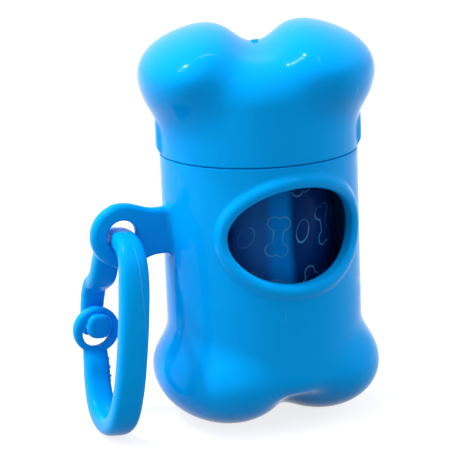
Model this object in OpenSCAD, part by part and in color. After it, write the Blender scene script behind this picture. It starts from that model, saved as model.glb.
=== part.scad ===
// Bone-shaped dispenser for a roll of waste bags, with a pull-off lid and a loop clip.
// Millimetres, Z up. The window faces -Y and the hang eye is on the -X side.
// Everything is drawn about the barrel's axis. placed() then moves that axis, so that the
// origin lies under the middle of the whole dispenser, on the surface it stands on.

/* [Barrel] */
// Outer diameter of the barrel and of the lid's skirt
barrel_d = 40; // [38:0.5:44]
// Wall of the barrel
wall = 2.4; // [2.2:0.1:3]
// Height of the chamber's floor
floor_z = 9.6; // [9.4:0.1:11]
// Height of the neck that the lid pushes on to
neck_h = 8; // [5:0.5:12]
// Wall of the neck
neck_wall = 1.15; // [1:0.05:1.3]
// Depth of the flats that the two lower lobes stand on
foot_flat = 0.2; // [0.1:0.05:0.4]

/* [Lower bone end] */
// Distance of each lower lobe's centre from the axis
base_lobe_spread = 10; // [9:0.1:12]
// Half length of a lower lobe across the bone
base_lobe_rx = 13.3; // [12:0.1:15]
// Half length of a lower lobe from front to back
base_lobe_ry = 18.5; // [17.5:0.1:19.5]
// Half height of a lower lobe
base_lobe_rz = 10.6; // [10:0.1:12]
// Distance from the start of the lower bone end to its lobe centres
base_lobe_at = 14.5; // [13:0.1:16]
// Blend between the two lower lobes
base_lobe_blend = 4.6; // [3:0.1:7]
// Blend between the lower lobes and the barrel
base_waist_blend = 2.7; // [1:0.1:5]
// Distance from the start of the lower bone end to the barrel's closed end
base_plug_at = 17; // [16:0.1:19]

/* [Lid] */
// Angle that the lid stands turned at, seen from above, anticlockwise
lid_turn = -19.4; // [-90:0.1:90]
// Distance of each upper lobe's centre from the axis
lid_lobe_spread = 12.9; // [12:0.1:14]
// Half length of an upper lobe along its sloping top
lid_lobe_rx = 10.9; // [10:0.1:12]
// Half length of an upper lobe from front to back
lid_lobe_ry = 19.2; // [18:0.1:20]
// Half thickness of an upper lobe below its sloping top
lid_lobe_rz = 7.8; // [7.4:0.1:8.4]
// Angle that an upper lobe's top slopes down at, away from the notch
lid_lobe_slope = 21; // [15:0.5:27]
// How square an upper lobe is, seen from the front: 2 is an ellipse
lid_lobe_square = 2.34; // [2:0.02:2.8]
// Distance from the seam to the upper lobe centres
lid_lobe_at = 16.7; // [16:0.1:17.5]
// Blend between the two upper lobes
lid_lobe_blend = 9; // [7:0.1:10]
// Blend between the upper lobes and the skirt
lid_waist_blend = 5.3; // [4:0.1:7]
// Distance from the seam to the barrel-shaped middle's closed end
lid_plug_at = 18.9; // [18:0.1:19.5]
// Height of the lid's flat ceiling above the seam
ceiling_at = 16; // [15.2:0.1:16.6]
// Height of a thumb ledge
ledge_h = 5.4; // [4:0.2:7]
// Width of a thumb ledge
ledge_w = 6.6; // [4:0.2:9]
// How far a thumb ledge stands out of the skirt
ledge_out = 0.9; // [0.4:0.1:1.5]
// Diameter of the moulding gate's stub in the lid's notch
gate_d = 1.3; // [0.8:0.1:2]

/* [Window] */
// Width of the window, straight across
window_w = 26.8; // [20:0.2:28]
// Height of the window
window_h = 19.4; // [14:0.2:22]
// Distance from the seam down to the window's centre
window_below = 14.2; // [13.6:0.1:16]
// Width of the rounded bead round the window
bead_w = 2.9; // [2:0.1:3.4]
// How far the bead stands out of the barrel
bead_out = 0.8; // [0.4:0.1:1.2]

/* [Hang eye] */
// Distance from the barrel's surface to the centre of the hang eye
eye_reach = 10.1; // [9:0.1:14]
// Height of the hang eye's centre
eye_z = 41; // [40:0.5:44]
// Diameter of the hole in the hang eye
eye_bore_d = 6.3; // [6.2:0.05:7]
// Outer diameter of the hang eye
eye_d = 12.8; // [11:0.2:15]
// Thickness of the hang eye and its arm
eye_t = 3; // [2.4:0.1:3.4]
// Height of the arm that carries the hang eye
arm_h = 9.5; // [7:0.5:11]

/* [Clip] */
// Angle that the clip leans out at, away from the barrel
clip_lean = 6.5; // [5:0.5:15]
// Length of the clip, from the hang eye's centre to its lowest point
clip_l = 40.7; // [38:0.1:40.9]
// Width of the strap where it is widest
strap_w = 5.9; // [5:0.1:6.4]
// Thickness of the strap where it is thickest
strap_t = 4.2; // [3.4:0.1:4.4]
// Outer diameter of the latch eye
latch_d = 9.8; // [9:0.1:11]
// Diameter of the hole in the latch eye
latch_bore_d = 6.2; // [5.8:0.1:6.8]
// Thickness of the latch eye
latch_t = 2.4; // [2:0.1:2.8]
// Diameter of the knob that snaps into the latch eye
knob_d = 4.6; // [4:0.1:4.8]

/* [Bag roll] */
// Outer diameter of the full roll
roll_d = 29.5; // [26:0.5:31]
// Width of the folded film, which is the height of the roll
roll_h = 60; // [54:0.5:68]
// Outer diameter of the paper core
core_d = 10; // [8:0.5:12]
// Wall of the paper core
core_wall = 1.2; // [0.8:0.1:1.6]

/* [Clearances] */
// Radial clearance between the neck and the lid's skirt
lid_fit = 0.06; // [0.02:0.01:0.1]
// Height of the fine gap at the seam
seam_gap = 0.2; // [0.1:0.05:0.4]
// Clearance between parts that move freely past each other
free_gap = 0.3; // [0.2:0.05:0.4]
// End play of the roll in the chamber, above its running clearance
roll_play = 1.5; // [0.5:0.1:3]
// Clearance between two neighbouring bags on the roll
film_gap = 0.06; // [0.04:0.01:0.1]

/* [Hidden] */

// Number of bags on the roll, each a node of its own
bag_count = 15;
case_blue = [0, 0.58, 0.91];
film_navy = [0.02, 0.09, 0.3];
paper_grey = [0.74, 0.7, 0.63];

barrel_r = barrel_d / 2;
bore_r = barrel_r - wall;
neck_r = bore_r + neck_wall;
base_start = base_lobe_at + base_lobe_rz - foot_flat;
// The roll fills the height from the chamber's floor to the lid's ceiling, which sets the seam
seam_z = floor_z + free_gap + roll_h + roll_play - ceiling_at - seam_gap;
window_z = seam_z - window_below;
lid_z = seam_z + seam_gap;
// Wall left under a lobe that is hollowed out
lobe_wall = 2;
// Depth to which added pieces are sunk into the wall that carries them
root = 1;
// A cut runs this far past the faces it goes through
past = 1;
round_fn = 96;

// ---------------------------------------------------------------- bone ends
// An end is [spread, rx, ry, rz, lobe_at, lobe_blend, waist_blend, plug_at, square, slope].
plain_square = 2;
base_end = [
    base_lobe_spread, base_lobe_rx, base_lobe_ry, base_lobe_rz,
    base_lobe_at, base_lobe_blend, base_waist_blend, base_plug_at, plain_square, 0
];
lid_end = [
    lid_lobe_spread, lid_lobe_rx, lid_lobe_ry, lid_lobe_rz,
    lid_lobe_at, lid_lobe_blend, lid_waist_blend, lid_plug_at, lid_lobe_square, lid_lobe_slope
];
// Rounding of the edge where the barrel's side meets its closed end
plug_edge = 4;
// The rays that find an end's surface start on the axis, at this height above its start
ray_z = 10;
ray_start = 45;
ray_steps = 26;
ray_damping = 0.85;
end_sides = 72;
end_rows = 19;
// Polar angle of the last row of rays, just above the end's start
end_angle = 114;

function blend_min(a, b, k) =
    let (h = max(0, min(1, 0.5 + 0.5 * (b - a) / k)))
    b * (1 - h) + a * h - k * h * (1 - h);

// Distance from p to a lobe with half lengths s about the origin. Its outline in the XZ plane is
// an ellipse where square is 2, squarer above that, and turned by the angle slope.
function lobe_gap(p, s, square, slope) =
    let (
        a = abs(p.x * cos(slope) - p.z * sin(slope)) / s.x,
        b = abs(p.y) / s.y,
        c = abs(p.x * sin(slope) + p.z * cos(slope)) / s.z,
        w = max(pow(a, square) + pow(c, square), 0.000001),
        k = norm([pow(w, 1 / square), b]),
        ease = pow(w, 2 / square - 1),
        rise = norm([ease * pow(a, square - 1) / s.x, b / s.y, ease * pow(c, square - 1) / s.z])
    )
    k * (k - 1) / max(rise, 0.000001);

// Distance from p to a round bar about Z that ends at height top with a rounded edge
function plug_gap(p, top) =
    let (side = norm([p.x, p.y]) - barrel_r + plug_edge, cap = p.z - top + plug_edge)
    norm([max(side, 0), max(cap, 0)]) + min(max(side, cap), 0) - plug_edge;

function end_gap(p, e) =
    let (
        half = [e[1], e[2], e[3]],
        right = lobe_gap(p - [e[0], 0, e[4]], half, e[8], e[9]),
        left = lobe_gap(p - [-e[0], 0, e[4]], half, e[8], -e[9])
    )
    blend_min(blend_min(right, left, e[5]), plug_gap(p, e[7]), e[6]);

// Distance along the unit vector d, from the ray centre to the surface of end e
function ray_length(d, e, t = ray_start, n = ray_steps) =
    n == 0 ? t : ray_length(d, e, t - ray_damping * end_gap([0, 0, ray_z] + t * d, e), n - 1);

function end_point(u, v, e) =
    let (d = [sin(v) * cos(u), sin(v) * sin(u), cos(v)])
    [0, 0, ray_z] + ray_length(d, e) * d;

function ring_points(r, z) =
    [for (i = [0:end_sides - 1]) let (u = i * 360 / end_sides) [r * cos(u), r * sin(u), z]];

// Solid bone end that rises from z = 0, with a straight round tail below it
module bone_end(e, tail) {
    rows = [for (j = [1:end_rows]) [
        for (i = [0:end_sides - 1]) end_point(i * 360 / end_sides, j * end_angle / end_rows, e)
    ]];
    straight = tail > 0
        ? [ring_points(barrel_r, 0), ring_points(barrel_r, -tail)]
        : [ring_points(barrel_r, 0)];
    rings = concat(rows, straight);
    points = concat([end_point(0, 0, e)], [for (r = rings) each r]);
    last = len(rings) - 1;
    function at(j, i) = 1 + j * end_sides + i % end_sides;
    cap = [for (i = [0:end_sides - 1]) [0, at(0, i + 1), at(0, i)]];
    walls = [for (j = [0:last - 1], i = [0:end_sides - 1]) each [
        [at(j, i), at(j, i + 1), at(j + 1, i + 1)],
        [at(j, i), at(j + 1, i + 1), at(j + 1, i)]
    ]];
    polyhedron(points, concat(cap, walls, [[for (i = [0:end_sides - 1]) at(last, i)]]));
}

// Reach of end e's lobe from its centre, seen from the front, at the angle a above the X axis
function lobe_reach(e, a) =
    let (m = e[8] / (e[8] - 1))
    pow(
        pow(e[1] * abs(cos(a + e[9])), m) + pow(e[3] * abs(sin(a + e[9])), m),
        1 / m
    );

// Hollows inside a pair of lobes: ellipses turned about the Y axis, just inside the bore's wall
module lobe_hollows(r, half_l, z) {
    steps = 12;
    edge = 0.3;
    for (side = [-1, 1])
        translate([side * (bore_r - edge - r), 0, z])
        rotate([90, 0, 0])
        rotate_extrude($fn = 48)
        polygon([for (i = [0:steps]) let (a = -90 + i * 180 / steps) [r * cos(a), half_l * sin(a)]]);
}

// ---------------------------------------------------------------- placing
// The strap is this much narrower at its lowest bend than at its widest
strap_taper = 0.3;
// Furthest reach of the turned lid and of the clip from the barrel's axis, along X
lid_reach = lid_lobe_spread * cos(lid_turn)
    + norm([lobe_reach(lid_end, 0) * cos(lid_turn), lid_lobe_ry * sin(lid_turn)]);
base_reach = base_lobe_spread + base_lobe_rx;
right_reach = max(lid_reach, base_reach);
left_reach = barrel_r + eye_reach + clip_l * sin(clip_lean)
    + (strap_w - strap_taper) / 2 * cos(clip_lean);
axis_x = (left_reach - right_reach) / 2;

module placed() {
    translate([axis_x, 0, 0]) children();
}

// ---------------------------------------------------------------- barrel
module window_cut() {
    sides = 64;
    translate([0, -bore_r / 2, window_z])
    rotate([90, 0, 0])
    linear_extrude(barrel_r)
    polygon([for (i = [0:sides - 1]) let (a = i * 360 / sides)
        [window_w / 2 * cos(a), window_h / 2 * sin(a)]]);
}

// Rounded bead that follows the window's edge round the barrel
module window_bead() {
    rings = 44;
    sides = 8;
    r = bead_w / 2;
    path_r = barrel_r + bead_out - r;
    // The bead's inner edge overhangs the window's by this share of its radius, where it is flat
    seat = 0.78;
    half_w = window_w / 2 + seat * r;
    half_h = window_h / 2 + seat * r;
    function path(t) =
        let (x = half_w * cos(t))
        [x, -sqrt(path_r * path_r - x * x), window_z + half_h * sin(t)];
    function unit(v) = v / norm(v);
    points = [for (j = [0:rings - 1]) each
        let (
            t = j * 360 / rings,
            p = path(t),
            along = unit(path(t + 1) - path(t - 1)),
            out = unit([p.x, p.y, 0]),
            side = unit(cross(along, out))
        )
        [for (i = [0:sides - 1]) p + r * (cos(i * 360 / sides) * out + sin(i * 360 / sides) * side)]
    ];
    function at(j, i) = (j % rings) * sides + i % sides;
    polyhedron(points, [for (j = [0:rings - 1], i = [0:sides - 1]) each [
        [at(j, i), at(j + 1, i), at(j + 1, i + 1)],
        [at(j, i), at(j + 1, i + 1), at(j, i + 1)]
    ]]);
}

// Round disc about Z with eased edges
module eased_disc(r, h, ease) {
    rotate_extrude($fn = round_fn)
    polygon([
        [0, -h / 2], [r - ease, -h / 2], [r, ease - h / 2],
        [r, h / 2 - ease], [r - ease, h / 2], [0, h / 2]
    ]);
}

module hang_eye() {
    ease = 0.5;
    length = eye_reach + wall / 2;
    translate([-barrel_r - eye_reach, 0, eye_z]) {
        rotate([90, 0, 0]) eased_disc(eye_d / 2, eye_t, ease);
        rotate([90, 0, 90])
        linear_extrude(length)
        polygon([
            [ease - eye_t / 2, -arm_h / 2], [eye_t / 2 - ease, -arm_h / 2],
            [eye_t / 2, ease - arm_h / 2], [eye_t / 2, arm_h / 2 - ease],
            [eye_t / 2 - ease, arm_h / 2], [ease - eye_t / 2, arm_h / 2],
            [-eye_t / 2, arm_h / 2 - ease], [-eye_t / 2, ease - arm_h / 2]
        ]);
    }
}

module chamber() {
    translate([0, 0, floor_z]) cylinder(r = bore_r, h = seam_z + neck_h - floor_z + past, $fn = round_fn);
    lobe_hollows(base_lobe_rz - lobe_wall, base_lobe_ry - lobe_wall, base_lobe_rz);
}

module base() {
    color(case_blue)
    placed()
    difference() {
        union() {
            translate([0, 0, base_start]) mirror([0, 0, 1]) bone_end(base_end, seam_z - base_start);
            translate([0, 0, seam_z - root]) cylinder(r = neck_r, h = neck_h + root, $fn = round_fn);
            window_bead();
            hang_eye();
        }
        chamber();
        window_cut();
        translate([-barrel_r - eye_reach, 0, eye_z])
            rotate([90, 0, 0])
            cylinder(d = eye_bore_d, h = eye_t + 2 * past, center = true, $fn = round_fn);
        translate([-barrel_d, -barrel_d, -barrel_r]) cube([2 * barrel_d, 2 * barrel_d, barrel_r]);
    }
}

// ---------------------------------------------------------------- lid
module thumb_ledge() {
    start = 1;
    intersection() {
        translate([0, 0, start]) cylinder(r = barrel_r + ledge_out, h = ledge_h, $fn = round_fn);
        translate([barrel_r - root, -ledge_w / 2, start]) cube([root + 2 * ledge_out, ledge_w, ledge_h]);
    }
}

module lid() {
    gate_h = 0.4;
    // The hollows' widest line lies a little under the ceiling
    hollow_z = ceiling_at - 0.4;
    hollow_r = lid_lobe_at + lobe_reach(lid_end, 90) - lobe_wall - hollow_z;
    notch_z = end_point(0, 0, lid_end).z;
    color(case_blue)
    placed()
    translate([0, 0, lid_z])
    rotate([0, 0, lid_turn])
    difference() {
        union() {
            bone_end(lid_end, 0);
            thumb_ledge();
            rotate([0, 0, 180]) thumb_ledge();
            translate([0, 0, notch_z - root]) cylinder(d = gate_d, h = root + gate_h, $fn = 24);
        }
        translate([0, 0, -past])
            cylinder(r = neck_r + lid_fit, h = neck_h + free_gap + past, $fn = round_fn);
        translate([0, 0, -past / 2]) cylinder(r = bore_r, h = ceiling_at + past / 2, $fn = round_fn);
        lobe_hollows(hollow_r, lid_lobe_ry - lobe_wall, hollow_z);
    }
}

// ---------------------------------------------------------------- clip
// The strap's centre line lies in the clip's own plane. Each point is
// [distance behind the hang eye, distance below it, width, thickness].
// The loop runs from the tongue's knuckle through the hang eye and round to the latch eye.
knuckle = [11.5, 11.5];
knuckle_r = 1.9;
latch_at = [11.8, 22.5];
knob_at = [15.1, 21.65];
knuckle_w = 4.6;
// The strap hangs in the hang eye with its centre line this far below the eye's centre
eye_sag = 0.6;
// The knob reaches this far past the latch eye
knob_through = 1.7;
knob_tip = latch_at.x - latch_t / 2 - knob_through;
// The knob hooks over the latch eye's upper edge, where a smaller hole makes room for it
hook_bore_d = latch_bore_d - 1;
hook_up = 0.9;
loop_line = [
    [knuckle.x, knuckle.y, 4.4, 3.6],
    [9.3, 9.9, 4.8, 3.8],
    [8.3, 7, 5, 3.8],
    [7.2, 3.8, 5, 3.8],
    [4.2, 1.3, 5, 3.8],
    [0, eye_sag, 5, 3.8],
    [-4.4, 1.3, 5.2, 3.8],
    [-7.4, 3.6, 5.5, 4],
    [-8.9, 8, strap_w, strap_t],
    [-9.9, 15, strap_w, strap_t],
    [-10.1, 22, strap_w, strap_t],
    [-9.6, clip_l - 11.7, strap_w, strap_t],
    [-7.8, clip_l - 5.9, strap_w, strap_t],
    [-4.3, clip_l - 2.7, strap_w - 0.2, 4],
    [0.2, clip_l - 2, strap_w - strap_taper, 4],
    [4.6, clip_l - 3.5, strap_w - 0.4, 4],
    [8.3, clip_l - 7.3, strap_w - 0.6, 3.8],
    [10.4, clip_l - 11.3, 5.2, 3.6],
    [latch_at.x, 26.6, 5, 2.4]
];
tongue_line = [
    [knuckle.x, knuckle.y, 4.4, 3.4],
    [13.4, 12.3, 4.3, 3.2],
    [14.7, 14.2, 4.2, 3],
    [knob_at.x, 17.4, 4.2, 3],
    [knob_at.x, knob_at.y + 1.8, 4.2, 3]
];

// Point at t on the smooth line through the points p
function spline(p, t) =
    let (
        i = min(floor(t), len(p) - 2), f = t - i,
        a = p[max(i - 1, 0)], b = p[i], c = p[i + 1], d = p[min(i + 2, len(p) - 1)]
    )
    (2 * b + (c - a) * f + (2 * a - 5 * b + 4 * c - d) * f * f
        + (3 * b - a - 3 * c + d) * f * f * f) / 2;

// Side of the strap's rounded section, between a circle's and a square's
function rounded(x) = sign(x) * pow(abs(x), 0.77);

module strap(line) {
    steps = 3;
    sides = 12;
    count = (len(line) - 1) * steps;
    points = [for (j = [0:count]) each
        let (
            t = j / steps,
            p = spline(line, t),
            ahead = spline(line, min(t + 0.05, len(line) - 1)),
            behind = spline(line, max(t - 0.05, 0)),
            run = [ahead.x - behind.x, ahead.y - behind.y],
            across = [-run.y, run.x] / norm(run)
        )
        [for (i = [0:sides - 1])
            let (
                a = (i + 0.5) * 360 / sides,
                q = [p.x, p.y] + p[3] / 2 * rounded(sin(a)) * across
            )
            [p.z / 2 * rounded(cos(a)), q.x, -q.y]]
    ];
    function at(j, i) = j * sides + i % sides;
    walls = [for (j = [0:count - 1], i = [0:sides - 1]) each [
        [at(j, i), at(j + 1, i + 1), at(j, i + 1)],
        [at(j, i), at(j + 1, i), at(j + 1, i + 1)]
    ]];
    first = [for (i = [0:sides - 1]) at(0, i)];
    last = [for (i = [sides - 1:-1:0]) at(count, i)];
    polyhedron(points, concat(walls, [first, last]));
}

// Places a piece of the clip: the hang eye's centre is the clip's own origin
module on_clip() {
    color(case_blue)
    placed()
    translate([-barrel_r - eye_reach, 0, eye_z])
    rotate([0, clip_lean, 0])
    children();
}

module clip_loop() {
    on_clip()
    difference() {
        union() {
            strap(loop_line);
            translate([0, latch_at.x, -latch_at.y]) rotate([90, 0, 0]) eased_disc(latch_d / 2, latch_t, 0.4);
        }
        for (hole = [[latch_bore_d, 0], [hook_bore_d, hook_up]])
            translate([0, latch_at.x, hole[1] - latch_at.y])
            rotate([90, 0, 0])
            cylinder(d = hole[0], h = latch_t + 2 * past, center = true, $fn = round_fn);
        translate([0, knuckle.x, -knuckle.y])
            rotate([0, 90, 0])
            cylinder(r = knuckle_r + free_gap, h = 2 * strap_w, center = true, $fn = round_fn);
    }
}

module clip_tongue() {
    on_clip() {
        strap(tongue_line);
        translate([0, knuckle.x, -knuckle.y])
            rotate([0, 90, 0])
            cylinder(r = knuckle_r, h = knuckle_w, center = true, $fn = round_fn);
        translate([0, knob_at.x, -knob_at.y])
            rotate([90, 0, 0])
            cylinder(d = knob_d, h = knob_at.x - knob_tip, $fn = round_fn);
    }
}

// ---------------------------------------------------------------- bag roll
roll_z = floor_z + free_gap;
core_r = core_d / 2;
bag_start_r = core_r + film_gap;
// Each bag holds as much film as the next, so a turn of the roll adds a constant area
bag_area = (roll_d * roll_d / 4 - bag_start_r * bag_start_r) / (bag_count + 1);
bag_steps = 40;

// Radius of the wound film after the given number of turns
function wound_r(turns) = sqrt(bag_start_r * bag_start_r + bag_area * turns);

module roll_core() {
    color(paper_grey)
    placed()
    translate([0, 0, roll_z])
    difference() {
        cylinder(r = core_r, h = roll_h, $fn = round_fn);
        translate([0, 0, -past]) cylinder(r = core_r - core_wall, h = roll_h + 2 * past, $fn = round_fn);
    }
}

// One bag is one turn of the spiral, cut off at its perforation
module bag(number) {
    slit = 1.5;
    function at(turns, i, gap) =
        let (a = slit + i * (360 - 2 * slit) / bag_steps, r = wound_r(turns + i / bag_steps) - gap)
        [r * cos(a), r * sin(a)];
    color(film_navy)
    placed()
    translate([0, 0, roll_z])
    linear_extrude(roll_h)
    polygon(concat(
        [for (i = [0:bag_steps]) at(number, i, film_gap)],
        [for (i = [bag_steps:-1:0]) at(number - 1, i, 0)]
    ));
}

base();
lid();
clip_loop();
clip_tongue();
roll_core();
bag(1);  // bag_01
bag(2);  // bag_02
bag(3);  // bag_03
bag(4);  // bag_04
bag(5);  // bag_05
bag(6);  // bag_06
bag(7);  // bag_07
bag(8);  // bag_08
bag(9);  // bag_09
bag(10);  // bag_10
bag(11);  // bag_11
bag(12);  // bag_12
bag(13);  // bag_13
bag(14);  // bag_14
bag(15);  // bag_15
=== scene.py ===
"""Looks of a bone-shaped waste bag dispenser, built around its packed construction.

Shapes are worked out in millimetres about the barrel's axis, with Z up from the surface that
the dispenser stands on. They become metres in the part's frame when a mesh is made.
"""
import logging
import math
from dataclasses import dataclass, field
from enum import Enum
from typing import Iterable, Sequence

import bmesh
import bpy
import numpy as np
from mathutils import Matrix, Vector


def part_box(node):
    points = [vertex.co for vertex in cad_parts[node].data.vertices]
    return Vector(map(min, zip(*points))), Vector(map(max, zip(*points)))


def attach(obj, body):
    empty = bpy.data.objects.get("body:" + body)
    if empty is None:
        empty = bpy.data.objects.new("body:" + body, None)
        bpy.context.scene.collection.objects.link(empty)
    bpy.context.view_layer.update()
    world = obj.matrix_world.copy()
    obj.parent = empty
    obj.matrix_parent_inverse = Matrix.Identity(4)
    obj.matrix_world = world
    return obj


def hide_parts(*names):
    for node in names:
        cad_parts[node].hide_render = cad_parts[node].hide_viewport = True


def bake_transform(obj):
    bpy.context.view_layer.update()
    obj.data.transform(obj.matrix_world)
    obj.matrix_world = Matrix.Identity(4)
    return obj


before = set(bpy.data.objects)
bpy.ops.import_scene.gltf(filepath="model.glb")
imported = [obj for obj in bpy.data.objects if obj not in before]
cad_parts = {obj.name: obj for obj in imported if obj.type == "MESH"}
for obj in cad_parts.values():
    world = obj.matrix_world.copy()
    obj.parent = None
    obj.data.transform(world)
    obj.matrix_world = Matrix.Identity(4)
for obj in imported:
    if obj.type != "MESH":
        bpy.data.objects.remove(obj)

LOG = logging.getLogger("bag_dispenser")
MM = 0.001
MM_IN_METRE = 1000.0
TINY = 1e-6
BARREL_R = 20.0
BORE_R = 17.6
COLUMNS = 192


class Body(Enum):
    """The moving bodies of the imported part."""

    CASE = "case"
    LID = "lid"
    CLIP = "clip"
    TONGUE = "tongue"
    ROLL = "roll"


class Slot(Enum):
    """The finishes that the record names."""

    PLASTIC = "case_plastic"
    FILM = "film"
    PAPER = "paper"


def barrel_axis() -> Vector:
    """Place of the barrel's axis in the part's frame, in metres."""
    low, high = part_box("roll_core")
    return Vector(((low.x + high.x) / 2, (low.y + high.y) / 2, 0.0))


def placed(name: str, data: bpy.types.ID) -> bpy.types.Object:
    """Makes an object from its data and puts it in the scene.

    Args:
        name: The object's name.
        data: Its mesh, lamp or camera.

    Returns:
        The object.
    """
    made = bpy.data.objects.new(name, data)
    bpy.context.scene.collection.objects.link(made)
    return made


# ------------------------------------------------------------------ meshes
@dataclass
class Shell:
    """Gathers rings of points, and the faces between them, into one mesh."""

    points: list = field(default_factory=list)
    faces: list = field(default_factory=list)
    count: int = 0

    def ring(self, points: np.ndarray) -> np.ndarray:
        """Adds points and returns their numbers.

        Args:
            points: An array with one row of x, y, z in millimetres for each point.

        Returns:
            The numbers of the new points.
        """
        self.points.append(np.asarray(points, float).reshape(-1, 3))
        first, self.count = self.count, self.count + len(self.points[-1])
        return np.arange(first, self.count)

    def bridge(self, a: np.ndarray, b: np.ndarray, keep: np.ndarray | None = None) -> None:
        """Joins two closed rings of equal length with quads.

        Args:
            a: Point numbers of the first ring.
            b: Point numbers of the second ring.
            keep: Which of the quads to make, all where None.
        """
        quads = np.stack([a, np.roll(a, -1), np.roll(b, -1), b], 1)
        self.faces += (quads if keep is None else quads[keep]).tolist()

    def fan(self, ring: np.ndarray, tip: Sequence[float]) -> None:
        """Closes a ring with triangles that meet at a tip."""
        centre = self.ring([tip])[0]
        self.faces += [[int(p), int(q), int(centre)] for p, q in zip(ring, np.roll(ring, -1))]

    def stack(self, rings: Iterable[np.ndarray], closed: bool = False) -> list:
        """Adds rings one after another and joins each to the next.

        Args:
            rings: The points of each ring.
            closed: Whether the last ring is joined to the first as well.

        Returns:
            The point numbers of each ring.
        """
        made = [self.ring(r) for r in rings]
        following = made[1:] + made[:1] if closed else made[1:]
        for a, b in zip(made, following):
            self.bridge(a, b)
        return made

    def build(self, name: str, origin: Vector) -> bpy.types.Object:
        """Makes the object.

        Args:
            name: The object's name.
            origin: The place of the barrel's axis, in metres.

        Returns:
            A smooth-shaded mesh object in the part's frame.
        """
        points = np.concatenate(self.points) * MM + np.array(origin)
        mesh = bpy.data.meshes.new(name)
        mesh.from_pydata(points.tolist(), [], self.faces)
        work = bmesh.new()
        work.from_mesh(mesh)
        loose = [v for v in work.verts if not v.link_faces]
        bmesh.ops.delete(work, geom=loose, context="VERTS")
        bmesh.ops.recalc_face_normals(work, faces=work.faces)
        work.to_mesh(mesh)
        work.free()
        mesh.shade_smooth()
        return placed(name, mesh)


def smooth_line(points: Sequence[Sequence[float]], steps: int) -> np.ndarray:
    """Points along a smooth line through the given ones.

    Args:
        points: The points that the line goes through, with any number of values each.
        steps: Number of steps from each point to the next.

    Returns:
        One row for each point of the line.
    """
    p = np.asarray(points, float)
    line = []
    for k in range(len(p) - 1):
        a, b, c, d = p[max(k - 1, 0)], p[k], p[k + 1], p[min(k + 2, len(p) - 1)]
        for f in np.arange(steps) / steps:
            line.append((2 * b + (c - a) * f + (2 * a - 5 * b + 4 * c - d) * f**2
                         + (3 * b - a - 3 * c + d) * f**3) / 2)
    return np.array(line + [p[-1]])


def corner(centre: Sequence[float], r: float, start: float, end: float, steps: int = 4) -> list:
    """Points of a rounded corner, as [radius, height] pairs; the angles are in degrees."""
    angles = np.radians(np.linspace(start, end, steps + 1))
    return [[centre[0] + r * math.cos(a), centre[1] + r * math.sin(a)] for a in angles]


def smooth_step(x: np.ndarray, low: float, high: float) -> np.ndarray:
    """Rises from 0 at low to 1 at high without a kink."""
    t = np.clip((np.asarray(x, float) - low) / (high - low), 0, 1)
    return t * t * (3 - 2 * t)


def squared(x: np.ndarray, power: float) -> np.ndarray:
    """A sine or cosine made flatter at its crests, which squares a round section."""
    return np.sign(x) * np.abs(x)**power


def lathe(profile: Sequence[Sequence[float]], angles: np.ndarray) -> list:
    """Rings about Z, one for each [radius, height] pair of the profile."""
    return [np.stack([r * np.cos(angles), r * np.sin(angles), np.full_like(angles, z)], 1)
            for r, z in profile]


# ------------------------------------------------------------------ materials
class Wire:
    """An output socket of a shader tree; arithmetic with it adds Math nodes."""

    def __init__(self, nodes: "Nodes", socket: bpy.types.NodeSocket) -> None:
        """Wraps a socket."""
        self.nodes, self.socket = nodes, socket

    def __add__(self, other: "Wire | float") -> "Wire":
        """Sum of both."""
        return self.nodes.math("ADD", self, other)

    def __sub__(self, other: "Wire | float") -> "Wire":
        """What is left after the other is taken away."""
        return self.nodes.math("SUBTRACT", self, other)

    def __rsub__(self, other: float) -> "Wire":
        """What is left of a number after this is taken away."""
        return self.nodes.math("SUBTRACT", other, self)

    def __mul__(self, other: "Wire | float") -> "Wire":
        """Product of both."""
        return self.nodes.math("MULTIPLY", self, other)

    def __truediv__(self, other: "Wire | float") -> "Wire":
        """This divided by the other."""
        return self.nodes.math("DIVIDE", self, other)

    def __abs__(self) -> "Wire":
        """Size without the sign."""
        return self.nodes.math("ABSOLUTE", self)


Input = Wire | float | tuple


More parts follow.
